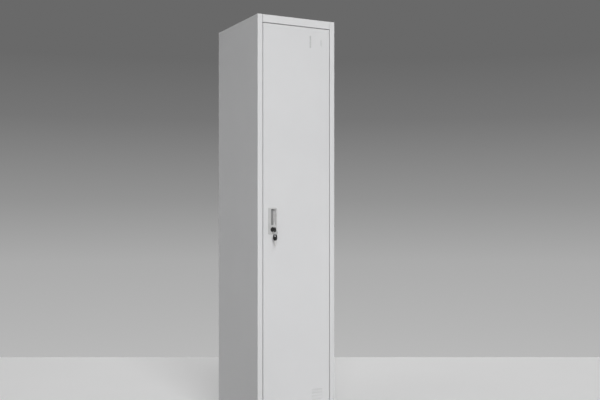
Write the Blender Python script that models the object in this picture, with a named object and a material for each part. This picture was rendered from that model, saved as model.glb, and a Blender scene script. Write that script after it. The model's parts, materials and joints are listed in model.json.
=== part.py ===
"""Single-door steel clothes locker with a recessed pull and a key-operated cam lock.

Metres, Z up. The door faces -Y and hangs on the +X side. The origin is on the
floor under the middle of the whole outline, the hanging keys included.
"""

import math

import bmesh
import bpy
from mathutils import Matrix, Vector

# Cabinet
WIDTH = 0.380
DEPTH = 0.450
HEIGHT = 1.850
SHEET = 0.0008
FOLD = 0.0010            # inside radius of every fold
FIT = 0.0003             # clearance between pieces that touch
SOLE = 0.003             # the cabinet's sheets end this far above the floor
POST_FACE = 0.0235
POST_RETURN = 0.020
STRIKE_LIP = 0.0145      # lip behind the latch edge of the door
REAR_FLANGE = 0.018
TRAY_FLANGE = 0.020
TOP_RAIL = 0.034
LINTEL_UPTURN = 0.014
PLINTH = 0.072
PLINTH_RETURN = 0.015
RAIL_SEAM = 0.001        # open line between a rail and the posts
FOOT_SIZE = 0.026
FOOT_PLUG = 0.017
FOOT_WALL = 0.0025
FOOT_EDGE = 0.0008
CUT_PAST = 0.0024        # a hole's cutter runs this far past the sheet's face

# Inside
SHELF_DROP = 0.281       # shelf face below the underside of the top rail
SHELF_FLANGE = 0.025
SHELF_INSET = 0.031      # shelf edge behind the front of the cabinet
LEDGE_LEG = 0.013
LEDGE_HEIGHT = 0.016
LEDGE_END_GAP = 0.035
RAIL_RADIUS = 0.0095
RAIL_WALL = 0.0012
RAIL_DROP = 0.008        # rail cups below the shelf ledges
CUP_FLANGE_RADIUS = 0.020
CUP_FLANGE = 0.002
CUP_WALL = 0.0025
CUP_REACH = 0.014

# Door
DOOR_GAP = 0.003
DOOR_DEPTH = 0.020
DOOR_FLANGE = 0.012
DOOR_FOLD = 0.0018       # outside radius of the door's edges
BUFFER_SPACE = 0.004     # between the closed door and the strike lip
BUFFER_RADIUS = 0.0045
BUFFER_NOSE = 0.0027     # radius of its flat end
BUFFER_STEM = 0.002
BUFFER_BARB = 0.0010     # barb proud of the stem
BUFFER_TAIL = 0.0020
BUFFER_END_GAP = 0.220   # in from the door's two ends
PIVOT_INSET = 0.018      # pivot axis in from the door's hinge edge
PIN_RADIUS = 0.0035
PIN_HEAD_RADIUS = 0.0055
PIN_HEAD = 0.002
PIN_REACH = 0.006        # past the sheet that carries the bush
BUSH_WALL = 0.0012
BUSH_FLANGE_RADIUS = 0.007
BUSH_FLANGE = 0.0010
BUSH_REACH = 0.0024      # past the sheet that carries it
BRACKET_SHEET = 0.0016
BRACKET_LENGTH = 0.036
BRACKET_HEIGHT = 0.026
STIFFENER_WIDTH = 0.030
STIFFENER_DEPTH = 0.0147
STIFFENER_FLANGE = 0.015
STIFFENER_END_GAP = 0.045

# Card holder, near the top of the hinge side
CARD_WIDTH = 0.061       # between the two tabs
CARD_EDGE_GAP = 0.038    # right tab in from the door's hinge edge
CARD_TOP_GAP = 0.036     # below the door's top edge
CARD_HEIGHT = 0.053
CARD_SMALL_TAB = 0.025
TAB_REACH = 0.005
TAB_LIFT = 0.0016        # from the door's face to the tab's face
TAB_SHEET = 0.0007

# Louvres, near the bottom of the hinge side
LOUVRE_COUNT = 6
LOUVRE_PITCH = 0.0147
LOUVRE_WIDTH = 0.0575
LOUVRE_RISE = 0.0090
LOUVRE_DEPTH = 0.0036
LOUVRE_END = 0.0096       # length of each rounded end
LOUVRE_EDGE_GAP = 0.0345  # in from the door's hinge edge
LOUVRE_TOP = 0.204        # top louvre above the floor

# Handle
PLATE_WIDTH = 0.0424
PLATE_HEIGHT = 0.1155
PLATE_THICK = 0.0016
PLATE_CORNER = 0.0030
PLATE_INSET = 0.023      # plate in from the door's latch edge
PLATE_BOTTOM = 0.8955    # above the floor
RECESS_WIDTH = 0.024
RECESS_ABOVE_LOCK = 0.0195
RECESS_DEPTH = 0.019
RECESS_RIM = 0.005       # plate right of and above the recess
RECESS_CORNER = 0.0040
GRIP_UNDERCUT = 0.004
GRIP_LIP = 0.0040        # thickness of the lip that the fingers pull on
SHELL_WALL = 0.0015
CLAW_RISE = 0.0012
CLAW_DEPTH = 0.006
CLAW_LENGTH = 0.012

# Lock
LOCK_RISE = 0.021        # lock axis above the bottom of the handle plate
BARREL_RADIUS = 0.008
HEAD_RADIUS = 0.0097
HEAD_THICK = 0.0020
CAP_WALL = 0.0008
CAP_FACE = 0.0014
PLUG_RADIUS = 0.005
LOCK_WASHER = 0.0008
NUT_ACROSS = 0.022
NUT_THICK = 0.004
CAM_THICK = 0.002
CAM_WIDTH = 0.014
CAM_LAP = 0.0073         # cam behind the strike lip when locked
CAM_GAP = 0.0007         # between the locked cam and the strike lip
SPIGOT_HALF = 0.0034
SCREW_RADIUS = 0.0020
SCREW_HEAD_RADIUS = 0.0050
SCREW_HEAD = 0.0022
SCREW_REACH = 0.008      # into the plug, from the cam
SCREW_WEB = 0.0012       # plug left between the key slot and the screw hole
DRIVER_SLOT = 0.0010     # width

# Keys and ring
BLADE_THICK = 0.0018
BLADE_HEIGHT = 0.0070
BLADE_TANG = 0.009       # inside the bow
BLADE_POINT = 0.0018     # length of the tapered tip
BLADE_NOSE = 0.0028      # height of the tip's end
BIT_START = 0.0086       # first cut, from the bow
BIT_PITCH = 0.0027
BIT_MOUTH = 0.0022       # width of a cut at the blade's edge
BIT_FLAT = 0.0006        # width of a cut at its bottom
BIT_CUTS = (0.0012, 0.0004, 0.0016, 0.0008, 0.0012)
BOW_LENGTH = 0.026
BOW_WIDTH = 0.020
BOW_ROOT_WIDTH = 0.011
BOW_CORNER = 0.007
BOW_THICK = 0.0040
BOW_EDGE = 0.0008        # rounding of the bow's edges
BOW_RIM = 0.0020         # raised border of the bow's sunk faces
BOW_SINK = 0.0004
BOW_BOSS = 0.0014        # raised border of the ring hole
BOW_HOLE = 0.0040        # radius
BOW_HOLE_INSET = 0.0065
BOW_STANDOFF = 0.001     # bow in front of the lock's face
WIRE_RADIUS = 0.00045
TURN_GAP = 0.00015       # between the split ring's two turns
RING_RADIUS = 0.011
RING_JOIN = math.radians(-105)      # where the wire steps over, from the ring's top
STEP_OVER = math.radians(20)        # half of the arc that the step takes
WIRE_ENDS = math.radians(24)        # from the join to each end of the wire
WIRE_SLACK = 0.00055     # wire clear of the inserted key's hole
SPARE_SLACK = 0.0011     # wire clear of the spare key's hole, which it crosses at a slant
SPARE_TWIST = math.radians(60)

# Places that follow from the sizes, measured back from the cabinet's front
STRIKE_DEEP = DOOR_DEPTH + BUFFER_SPACE
CAM_DEEP = STRIKE_DEEP + SHEET + CAM_GAP
PLATE_FRONT = -FIT - PLATE_THICK
HEAD_BACK = PLATE_FRONT - FIT
CAP_FRONT = HEAD_BACK - HEAD_THICK - FIT - CAP_FACE
BOW_ROOT = CAP_FRONT - BOW_STANDOFF
RING_DEEP = BOW_ROOT - (BOW_LENGTH - BOW_HOLE_INSET)
SPARE_REACH = BOW_WIDTH / 2 * math.sin(SPARE_TWIST) + BOW_THICK / 2 * math.cos(SPARE_TWIST)
KEY_REACH = max(SPARE_REACH, BOW_HOLE_INSET) - RING_DEEP
SCREW_HOLE_DEEP = CAM_DEEP + CAM_THICK - SCREW_REACH
BLADE_TIP = SCREW_HOLE_DEEP - SCREW_WEB - 2 * FIT

# Places across, up and back in the part's own frame
LEFT = -WIDTH / 2
RIGHT = WIDTH / 2
FRONT = -(DEPTH - KEY_REACH) / 2
BACK = FRONT + DEPTH
DOOR_LEFT = LEFT + POST_FACE + DOOR_GAP
DOOR_RIGHT = RIGHT - POST_FACE - DOOR_GAP
DOOR_BOTTOM = PLINTH + DOOR_GAP
LINTEL = HEIGHT - TOP_RAIL
DOOR_TOP = LINTEL - DOOR_GAP
SHELF_Z = LINTEL - SHELF_DROP
LEDGE_Z = SHELF_Z - SHELF_FLANGE - FIT
RAIL_Z = LEDGE_Z - LEDGE_HEIGHT - RAIL_DROP - CUP_FLANGE_RADIUS
BACK_FACE = BACK - SHEET - FIT            # rear face of the back panel
TRAY_BACK = BACK_FACE - SHEET - FIT       # rear face of the trays and the shelf
PIVOT = Vector((DOOR_RIGHT - PIVOT_INSET, FRONT + DOOR_DEPTH / 2, DOOR_BOTTOM))
PLATE_LEFT = DOOR_LEFT + PLATE_INSET
LOCK_X = PLATE_LEFT + PLATE_WIDTH / 2
LOCK_Z = PLATE_BOTTOM + LOCK_RISE
LIP_EDGE = LEFT + POST_FACE + STRIKE_LIP
CAM_REACH = LOCK_X - LIP_EDGE + CAM_LAP
KEY_HOLE = Vector((LOCK_X, FRONT + RING_DEEP, LOCK_Z))
RING_TOP = KEY_HOLE - Vector((0, 0, BOW_HOLE - WIRE_SLACK - WIRE_RADIUS))
RING_BOTTOM = RING_TOP - Vector((0, 0, 2 * RING_RADIUS))
SPARE_HOLE = RING_BOTTOM - Vector((0, 0, BOW_HOLE - SPARE_SLACK - WIRE_RADIUS))

# Colour, roughness and metallic value of each finish
FINISHES = {
    "door_coat": ((0.64, 0.64, 0.65), 0.42, 0.0),
    "body_coat": ((0.66, 0.66, 0.67), 0.42, 0.0),
    "handle_plastic": ((0.50, 0.50, 0.51), 0.38, 0.0),
    "black_plastic": ((0.015, 0.015, 0.017), 0.35, 0.0),
    "foot_plastic": ((0.05, 0.05, 0.052), 0.6, 0.0),
    "nylon": ((0.72, 0.71, 0.66), 0.5, 0.0),
    "rubber": ((0.03, 0.03, 0.03), 0.8, 0.0),
    "nickel": ((0.70, 0.69, 0.66), 0.25, 1.0),
    "zinc": ((0.60, 0.61, 0.62), 0.38, 1.0),
    "chrome": ((0.76, 0.76, 0.77), 0.14, 1.0),
}
ROUND_SIDES = 24
SMALL_SIDES = 16
WIRE_SIDES = 8
WIRE_STEPS = 60
FOLD_STEPS = 3
LOUVRE_COLUMNS = 12
LOUVRE_ROWS = 4
SHARP_ANGLE = math.radians(40)


def finish(name):
    """The material of one finish, made once."""
    if name in bpy.data.materials:
        return bpy.data.materials[name]
    colour, roughness, metallic = FINISHES[name]
    material = bpy.data.materials.new(name)
    material.use_nodes = True
    shader = material.node_tree.nodes["Principled BSDF"]
    shader.inputs["Base Color"].default_value = (*colour, 1.0)
    shader.inputs["Roughness"].default_value = roughness
    shader.inputs["Metallic"].default_value = metallic
    return material


def add_object(name, bm, finish_name):
    """A named object from a finished bmesh, shaded smooth up to its folds."""
    bmesh.ops.recalc_face_normals(bm, faces=bm.faces)
    mesh = bpy.data.meshes.new(name)
    bm.to_mesh(mesh)
    bm.free()
    shade(mesh)
    mesh.materials.append(finish(finish_name))
    piece = bpy.data.objects.new(name, mesh)
    bpy.context.scene.collection.objects.link(piece)
    return piece


def shade(mesh):
    mesh.shade_smooth()
    mesh.set_sharp_from_angle(angle=SHARP_ANGLE)


def combine(piece, tool, operation):
    """Cuts tool out of piece, or joins it on, and removes tool."""
    modifier = piece.modifiers.new(operation.title(), "BOOLEAN")
    modifier.operation = operation
    modifier.object = tool
    settle(piece)
    bpy.data.objects.remove(tool)


def settle(piece):
    """Makes the piece's modifiers part of its mesh."""
    bpy.context.view_layer.update()
    graph = bpy.context.evaluated_depsgraph_get()
    mesh = bpy.data.meshes.new_from_object(piece.evaluated_get(graph))
    piece.modifiers.clear()
    piece.data = mesh
    shade(mesh)


def cut(piece, tool):
    combine(piece, tool, "DIFFERENCE")


def join(piece, tool):
    combine(piece, tool, "UNION")


def box(name, low, high, finish_name="zinc", bevel=0.0, steps=2, edges=None):
    """A block between two corners, with its edges rounded.

    edges picks the edges to round by the axis that they run along, as "Z".
    """
    bm = bmesh.new()
    bmesh.ops.create_cube(bm, size=1.0)
    centre = (Vector(low) + Vector(high)) / 2
    size = Vector(high) - Vector(low)
    for vert in bm.verts:
        vert.co = centre + Vector([a * b for a, b in zip(vert.co, size)])
    if bevel:
        rounded = [edge for edge in bm.edges if edges is None or runs_along(edge, edges)]
        bmesh.ops.bevel(bm, geom=rounded, offset=bevel, segments=steps, profile=0.5, affect="EDGES")
    return add_object(name, bm, finish_name)


def runs_along(edge, axis):
    along = edge.verts[1].co - edge.verts[0].co
    return abs(along["XYZ".index(axis)]) > 0.99 * along.length


def onto_axis(axis, across, up, along):
    """A point from two coordinates in the section and one along axis X, Y or Z."""
    if axis == "X":
        return Vector((along, across, up))
    if axis == "Y":
        return Vector((across, along, up))
    return Vector((across, up, along))


def sheet_section(points, thickness, fold):
    """Outer and inner line of a folded sheet.

    The points are on its face, and the metal lies to the right of the way
    that they run. Every corner is an arc of inside radius fold.
    """
    points = [Vector(point) for point in points]
    ways = [(b - a).normalized() for a, b in zip(points, points[1:])]
    face = [points[0]]
    rear = [points[0] + to_right(ways[0]) * thickness]
    for corner, way_in, way_out in zip(points[1:], ways, ways[1:]):
        turn = math.atan2(way_in.cross(way_out), way_in.dot(way_out))
        inner_bend = turn < 0
        radius = fold + thickness if inner_bend else fold
        rear_radius = fold if inner_bend else fold + thickness
        towards = to_right(way_in) if inner_bend else -to_right(way_in)
        centre = corner - way_in * radius * math.tan(abs(turn) / 2) + towards * radius
        for step in range(FOLD_STEPS + 1):
            spoke = Matrix.Rotation(turn * step / FOLD_STEPS, 2) @ -towards
            face.append(centre + spoke * radius)
            rear.append(centre + spoke * rear_radius)
    face.append(points[-1])
    rear.append(points[-1] + to_right(ways[-1]) * thickness)
    return face, rear


def to_right(way):
    return Vector((way.y, -way.x))


def folded_sheet(name, points, axis, low, high, finish_name, thickness=SHEET, fold=FOLD):
    """A folded sheet of constant section between two places along an axis."""
    face, rear = sheet_section(points, thickness, fold)
    bm = bmesh.new()
    rows = []
    for place in (low, high):
        for line in (face, rear):
            rows.append([bm.verts.new(onto_axis(axis, point.x, point.y, place)) for point in line])
    low_face, low_rear, high_face, high_rear = rows
    for i in range(len(face) - 1):
        j = i + 1
        bm.faces.new((low_face[i], low_face[j], high_face[j], high_face[i]))
        bm.faces.new((low_rear[i], high_rear[i], high_rear[j], low_rear[j]))
        bm.faces.new((low_face[i], low_rear[i], low_rear[j], low_face[j]))
        bm.faces.new((high_face[i], high_face[j], high_rear[j], high_rear[i]))
    for end in (0, -1):
        bm.faces.new((low_face[end], high_face[end], high_rear[end], low_rear[end]))
    return add_object(name, bm, finish_name)


def plate(name, outline, axis, low, high, finish_name):
    """A flat piece with the given outline, between two places along an axis."""
    bm = bmesh.new()
    ends = []
    for place in (low, high):
        ends.append([bm.verts.new(onto_axis(axis, across, up, place)) for across, up in outline])
        bm.faces.new(ends[-1])
    count = len(outline)
    for i in range(count):
        j = (i + 1) % count
        bm.faces.new((ends[0][i], ends[0][j], ends[1][j], ends[1][i]))
    return add_object(name, bm, finish_name)


def turned(name, profile, axis, centre, finish_name, sides=ROUND_SIDES):
    """A turned piece. The profile's points are (radius, place along the axis).

    A profile that starts and ends on the axis is solid, and any other is a ring.
    """
    bm = bmesh.new()
    rings = []
    for radius, place in profile:
        if radius == 0:
            rings.append([bm.verts.new(onto_axis(axis, *centre, place))])
            continue
        ring = []
        for side in range(sides):
            angle = math.tau * side / sides
            across = centre[0] + radius * math.cos(angle)
            up = centre[1] + radius * math.sin(angle)
            ring.append(bm.verts.new(onto_axis(axis, across, up, place)))
        rings.append(ring)
    if profile[0][0] > 0:
        rings.append(rings[0])
    for ring, following in zip(rings, rings[1:]):
        bridge(bm, ring, following, sides)
    return add_object(name, bm, finish_name)


def bridge(bm, ring, following, sides):
    for side in range(sides):
        after = (side + 1) % sides
        corners = [ring[side % len(ring)], ring[after % len(ring)]]
        corners += [following[after % len(following)], following[side % len(following)]]
        unique = list(dict.fromkeys(corners))
        bm.faces.new(unique)


def arc(centre, radius, start, end, steps):
    """Points on an arc, with the angles in degrees."""
    points = []
    for step in range(steps + 1):
        angle = math.radians(start + (end - start) * step / steps)
        points.append((centre[0] + radius * math.cos(angle), centre[1] + radius * math.sin(angle)))
    return points


def pan(name, low, high, open_way, fold, flange, finish_name):
    """A folded tray: five walls of sheet, open on one side but for a turned-in flange.

    open_way is the outward direction of the open side.
    """
    bm = bmesh.new()
    bmesh.ops.create_cube(bm, size=1.0)
    centre = (Vector(low) + Vector(high)) / 2
    size = Vector(high) - Vector(low)
    for vert in bm.verts:
        vert.co = centre + Vector([a * b for a, b in zip(vert.co, size)])
    open_way = Vector(open_way)
    bm.normal_update()
    mouth = max(bm.faces, key=lambda face: face.normal.dot(open_way))
    if not flange:
        bmesh.ops.delete(bm, geom=[mouth], context="FACES_ONLY")
        folds = [edge for edge in bm.edges if not edge.is_boundary]
    else:
        folds = list(bm.edges)
    bmesh.ops.bevel(bm, geom=folds, offset=fold, segments=FOLD_STEPS, profile=0.5, affect="EDGES")
    if flange:
        bm.normal_update()
        mouth = max(bm.faces, key=lambda face: face.calc_area() * max(0, face.normal.dot(open_way)))
        bmesh.ops.inset_individual(bm, faces=[mouth], thickness=flange - fold, use_even_offset=True)
        bmesh.ops.delete(bm, geom=[mouth], context="FACES_ONLY")
    piece = add_object(name, bm, finish_name)
    walls = piece.modifiers.new("Sheet", "SOLIDIFY")
    walls.thickness = SHEET
    walls.offset = -1
    walls.use_even_offset = True
    settle(piece)
    return piece


def side_panel(name, hand, latch_side):
    """A cabinet side with its front post and rear flange; hand is -1 on the left, 1 on the right."""
    points = [(POST_FACE, STRIKE_DEEP if latch_side else POST_RETURN), (POST_FACE, 0), (0, 0)]
    points += [(0, DEPTH), (REAR_FLANGE, DEPTH)]
    if latch_side:
        points.insert(0, (POST_FACE + STRIKE_LIP, STRIKE_DEEP))
    placed = [(LEFT + inward, FRONT + deep) for inward, deep in points]
    side = folded_sheet(name, placed, "Z", SOLE, HEIGHT, "body_coat")
    clearance = SHEET + FIT
    low = (LEFT + clearance + FOLD, FRONT + clearance, HEIGHT - SHEET - FIT)
    high = (LIP_EDGE + FIT, FRONT + STRIKE_DEEP + clearance, HEIGHT + FIT)
    cut(side, box("return_trim", low, high))
    if hand > 0:
        side.data.transform(Matrix.Scale(-1, 4, (1, 0, 0)))
        side.data.flip_normals()
    return side


def buffer_places():
    middle = LIP_EDGE - STRIKE_LIP / 2
    return [(middle, DOOR_BOTTOM + BUFFER_END_GAP), (middle, DOOR_TOP - BUFFER_END_GAP)]


def tray_sheet(name, profile):
    """A tray's folded sheet, from one side of the cabinet to the other."""
    clearance = SHEET + FIT
    placed = [(FRONT + deep, up) for deep, up in profile]
    return folded_sheet(name, placed, "X", LEFT + clearance, RIGHT - clearance, "body_coat")


def tray_side_flanges(tray, deck_top):
    """Turned-down flanges that are welded to the cabinet's sides."""
    clearance = SHEET + FIT
    for hand in (-1, 1):
        outer = hand * (WIDTH / 2 - clearance)
        inner = outer - hand * SHEET
        low = (min(outer, inner), FRONT + STRIKE_DEEP + 2 * clearance, deck_top - TRAY_FLANGE)
        high = (max(outer, inner), TRAY_BACK - SHEET - FOLD, deck_top - SHEET / 2)
        join(tray, box("tray_flange", low, high))


def build_top_panel():
    lintel_deep = STRIKE_DEEP - FIT
    profile = [(lintel_deep, LINTEL + LINTEL_UPTURN), (lintel_deep, LINTEL), (0, LINTEL)]
    profile += [(0, HEIGHT), (TRAY_BACK - FRONT, HEIGHT), (TRAY_BACK - FRONT, HEIGHT - TRAY_FLANGE)]
    top = tray_sheet("top_panel", profile)
    clearance = SHEET + FIT
    for hand in (-1, 1):
        seam = hand * (WIDTH / 2 - POST_FACE - RAIL_SEAM)
        outside = hand * (WIDTH / 2 + FIT)
        low_x, high_x = sorted((seam, outside))
        low = (low_x, FRONT - FIT, LINTEL - FIT)
        cut(top, box("post_face", low, (high_x, FRONT + clearance, HEIGHT + FIT)))
        below_deck = HEIGHT - SHEET - FOLD
        cut(top, box("post_return", low, (high_x, FRONT + STRIKE_DEEP + clearance, below_deck)))
    tray_side_flanges(top, HEIGHT)
    cut(top, pivot_hole("top_bush_hole", LINTEL, PIN_RADIUS + FIT + BUSH_WALL + FIT))
    return top


def build_bottom_panel():
    """Plinth and deck. A tongue of the deck fills each post, past a slot for the post's return."""
    profile = [(PLINTH_RETURN, SOLE), (0, SOLE), (0, PLINTH)]
    profile += [(TRAY_BACK - FRONT, PLINTH), (TRAY_BACK - FRONT, PLINTH - TRAY_FLANGE)]
    bottom = tray_sheet("bottom_panel", profile)
    clearance = SHEET + FIT
    behind_strike = FRONT + STRIKE_DEEP + clearance
    tongue_end = FRONT + clearance + FOLD
    above_deck = PLINTH + FIT
    for hand, behind_return in ((-1, behind_strike), (1, FRONT + POST_RETURN + FIT)):
        seam = hand * (WIDTH / 2 - POST_FACE - RAIL_SEAM)
        inside_post = hand * (WIDTH / 2 - POST_FACE + clearance)
        outside = hand * (WIDTH / 2 + FIT)
        low_x, high_x = sorted((seam, outside))
        low = (low_x, FRONT - FIT, 0)
        cut(bottom, box("post_foot", low, (high_x, behind_strike, PLINTH - SHEET - FOLD)))
        cut(bottom, box("post_face", low, (high_x, tongue_end, above_deck)))
        low_x, high_x = sorted((seam, inside_post))
        low = (low_x, FRONT - FIT, PLINTH - TRAY_FLANGE)
        cut(bottom, box("return_slot", low, (high_x, behind_return, above_deck)))
    low = (LEFT + POST_FACE, FRONT + STRIKE_DEEP - FIT, PLINTH - TRAY_FLANGE)
    cut(bottom, box("lip_slot", low, (LIP_EDGE + FIT, behind_strike, above_deck)))
    tray_side_flanges(bottom, PLINTH)
    cut(bottom, pivot_hole("bottom_bush_hole", PLINTH, PIN_RADIUS + FIT + BUSH_WALL + FIT))
    return bottom


def pivot_hole(name, height, radius):
    """Cutter on the pivot axis, through the sheet at the given height."""
    low, high = height - CUT_PAST, height + CUT_PAST
    profile = [(0, low), (radius, low), (radius, high), (0, high)]
    return turned(name, profile, "Z", PIVOT.xy, "zinc", SMALL_SIDES)


def build_back_panel():
    low = (LEFT + SHEET + FOLD, BACK_FACE - SHEET, SOLE)
    high = (RIGHT - SHEET - FOLD, BACK_FACE, HEIGHT)
    return box("back_panel", low, high, "body_coat")


def build_shelf():
    side_gap = SHEET + 2 * FIT
    low = (LEFT + side_gap, FRONT + SHELF_INSET, SHELF_Z - SHELF_FLANGE)
    high = (RIGHT - side_gap, TRAY_BACK, SHELF_Z)
    return pan("shelf", low, high, (0, 0, -1), FOLD + SHEET, 0, "body_coat")


def build_ledge(name, hand):
    """Welded angle that carries one end of the shelf."""
    wall = WIDTH / 2 - SHEET - FIT
    points = [(-wall + LEDGE_LEG, LEDGE_Z), (-wall, LEDGE_Z), (-wall, LEDGE_Z - LEDGE_HEIGHT)]
    points.reverse()
    low = FRONT + SHELF_INSET + LEDGE_END_GAP
    ledge = folded_sheet(name, points, "Y", low, TRAY_BACK - LEDGE_END_GAP, "body_coat")
    if hand > 0:
        ledge.data.transform(Matrix.Scale(-1, 4, (1, 0, 0)))
        ledge.data.flip_normals()
    return ledge


def rail_centre():
    """Y and Z of the hanging rail's axis."""
    return ((FRONT + BACK) / 2, RAIL_Z)


def build_hanging_rail():
    end = WIDTH / 2 - SHEET - FIT - CUP_FLANGE - FIT
    bore = RAIL_RADIUS - RAIL_WALL
    profile = [(RAIL_RADIUS, -end), (bore, -end), (bore, end), (RAIL_RADIUS, end)]
    return turned("hanging_rail", profile, "X", rail_centre(), "chrome")


def build_rail_cup(name, hand):
    """Socket for a rail end, open at the top so that the rail drops in."""
    base = WIDTH / 2 - SHEET - FIT
    face = base - CUP_FLANGE
    inner = RAIL_RADIUS + FIT
    outer = inner + CUP_WALL
    round_off = CUP_FLANGE / 2
    profile = [(0, base), (CUP_FLANGE_RADIUS, base), (CUP_FLANGE_RADIUS, face + round_off)]
    profile += [(CUP_FLANGE_RADIUS - round_off, face), (outer, face)]
    profile += [(outer, base - CUP_REACH), (inner, base - CUP_REACH), (inner, face), (0, face)]
    placed = [(radius, hand * place) for radius, place in profile]
    cup = turned(name, placed, "X", rail_centre(), "zinc")
    middle, height = rail_centre()
    low_x, high_x = sorted((hand * (base - CUP_REACH - FIT), hand * (face - FIT / 2)))
    low = (low_x, middle - inner, height)
    cut(cup, box("drop_in", low, (high_x, middle + inner, height + 2 * outer)))
    return cup


def build_buffer(name, place):
    """Rubber stop, pressed through a hole in the strike lip."""
    nose = FRONT + DOOR_DEPTH + FIT
    lip_face = FRONT + STRIKE_DEEP - FIT
    lip_rear = FRONT + STRIKE_DEEP + SHEET + FIT
    crown = (lip_face - nose) / 2
    tail = lip_rear + BUFFER_TAIL
    profile = [(0, nose), (BUFFER_NOSE, nose), (BUFFER_RADIUS, nose + crown)]
    profile += [(BUFFER_RADIUS, lip_face), (BUFFER_STEM, lip_face), (BUFFER_STEM, lip_rear)]
    profile += [(BUFFER_STEM + BUFFER_BARB, lip_rear), (BUFFER_STEM - BUFFER_BARB / 2, tail), (0, tail)]
    return turned(name, profile, "Y", place, "rubber", SMALL_SIDES)


def build_foot(name, hand, front):
    """Moulded plug with a sole, under one corner of the cabinet."""
    clearance = SHEET + FIT
    outer = WIDTH / 2
    post_inner = outer - POST_FACE + clearance
    start, end = (FRONT, FRONT + FOOT_SIZE) if front else (BACK - FOOT_SIZE, BACK)
    plug_start = FRONT + clearance if front else BACK - FOOT_SIZE
    plug_end = FRONT + POST_RETURN - FIT if front else TRAY_BACK
    low = (outer - FOOT_SIZE, start, 0)
    foot = box(name, low, (outer, end, SOLE - FIT), "foot_plastic", FOOT_EDGE)
    low = (post_inner, plug_start, SOLE / 2)
    high = (outer - clearance, plug_end, SOLE + FOOT_PLUG)
    join(foot, box("foot_plug", low, high, "foot_plastic", FOLD, 2, "Z"))
    low = (low[0] + FOOT_WALL, low[1] + FOOT_WALL, SOLE)
    high = (high[0] - FOOT_WALL, high[1] - FOOT_WALL, high[2] + FIT)
    cut(foot, box("foot_pocket", low, high))
    if hand < 0:
        foot.data.transform(Matrix.Scale(-1, 4, (1, 0, 0)))
        foot.data.flip_normals()
    return foot


def build_bush(name, sheet_face, way):
    """Flanged nylon bush in a bush hole; way is 1 where its body points up."""
    bore = PIN_RADIUS + FIT
    body = bore + BUSH_WALL
    seat = sheet_face - way * FIT
    lip = seat - way * BUSH_FLANGE
    end = sheet_face + way * (SHEET + BUSH_REACH)
    profile = [(bore, lip), (BUSH_FLANGE_RADIUS, lip), (BUSH_FLANGE_RADIUS, seat)]
    profile += [(body, seat), (body, end), (bore, end)]
    return turned(name, profile, "Z", PIVOT.xy, "nylon", SMALL_SIDES)


def build_door_skin():
    low = (DOOR_LEFT, FRONT, DOOR_BOTTOM)
    high = (DOOR_RIGHT, FRONT + DOOR_DEPTH, DOOR_TOP)
    door = pan("door_skin", low, high, (0, 1, 0), DOOR_FOLD, DOOR_FLANGE, "door_coat")
    for height in (DOOR_BOTTOM, DOOR_TOP):
        cut(door, pivot_hole("pin_hole", height, PIN_RADIUS + FIT))
    cut(door, cup_block("cup_window", FIT, -CUT_PAST, CUT_PAST))
    cut(door, lock_hole("lock_window", -CUT_PAST, CUT_PAST))
    add_card_holder(door)
    add_louvres(door)
    return door


def lock_hole(name, shallow, deep):
    """Cutter for the barrel's hole, between two depths behind the front."""
    radius = BARREL_RADIUS + FIT
    profile = [(0, FRONT + shallow), (radius, FRONT + shallow)]
    profile += [(radius, FRONT + deep), (0, FRONT + deep)]
    return turned(name, profile, "Y", (LOCK_X, LOCK_Z), "zinc")


def cup_corners():
    """Low and high corners (x, z) of the outside of the handle's cup."""
    right = PLATE_LEFT + PLATE_WIDTH - RECESS_RIM
    left = right - RECESS_WIDTH
    top = PLATE_BOTTOM + PLATE_HEIGHT - RECESS_RIM
    bottom = LOCK_Z + RECESS_ABOVE_LOCK
    low = (left - GRIP_UNDERCUT - SHELL_WALL, bottom - SHELL_WALL)
    return low, (right + SHELL_WALL, top + SHELL_WALL)


def cup_block(name, grow, shallow, deep):
    """The cup's outside, grown all round, between two depths behind the front."""
    (low_x, low_z), (high_x, high_z) = cup_corners()
    low = (low_x - grow, FRONT + shallow, low_z - grow)
    high = (high_x + grow, FRONT + deep, high_z + grow)
    return box(name, low, high, "handle_plastic", RECESS_CORNER, 3, "Y")


def add_card_holder(door):
    """Two lanced tabs, bent forward and back over the ends of the card."""
    right_root = DOOR_RIGHT - CARD_EDGE_GAP
    left_root = right_root - CARD_WIDTH
    top = DOOR_TOP - CARD_TOP_GAP
    middle = top - CARD_HEIGHT / 2
    for root, way, height in ((left_root, 1, CARD_HEIGHT), (right_root, -1, CARD_SMALL_TAB)):
        low_x, high_x = sorted((root, root + way * TAB_REACH))
        low = (low_x, FRONT - SHEET, middle - height / 2)
        cut(door, box("tab_window", low, (high_x, FRONT + CUT_PAST, middle + height / 2)))
        join(door, card_tab(root, way, middle - height / 2, middle + height / 2))


def card_tab(root, way, low, high):
    """A tab of constant section that starts inside the door's sheet."""
    face = FRONT - TAB_LIFT
    embedded = FRONT + SHEET - (SHEET - TAB_SHEET) / 2
    ramp = TAB_LIFT
    centre_line = [(root - way * TAB_SHEET, embedded - TAB_SHEET)]
    centre_line += [(root + way * FIT, embedded - TAB_SHEET), (root + way * ramp, face)]
    centre_line += [(root + way * TAB_REACH, face)]
    back_line = [(x, y + TAB_SHEET) for x, y in reversed(centre_line)]
    slack = SHEET / 4
    return plate("card_tab", centre_line + back_line, "Z", low + slack, high - slack, "door_coat")


def louvre_tops():
    return [LOUVRE_TOP - LOUVRE_PITCH * index for index in range(LOUVRE_COUNT)]


def add_louvres(door):
    right = DOOR_RIGHT - LOUVRE_EDGE_GAP
    left = right - LOUVRE_WIDTH
    for top in louvre_tops():
        low = (left + SHEET, FRONT - SHEET, top - LOUVRE_RISE + SHEET)
        high = (right - SHEET, FRONT + CUT_PAST, top)
        cut(door, box("louvre_window", low, high))
        join(door, louvre_scoop(left, right, top))


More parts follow.
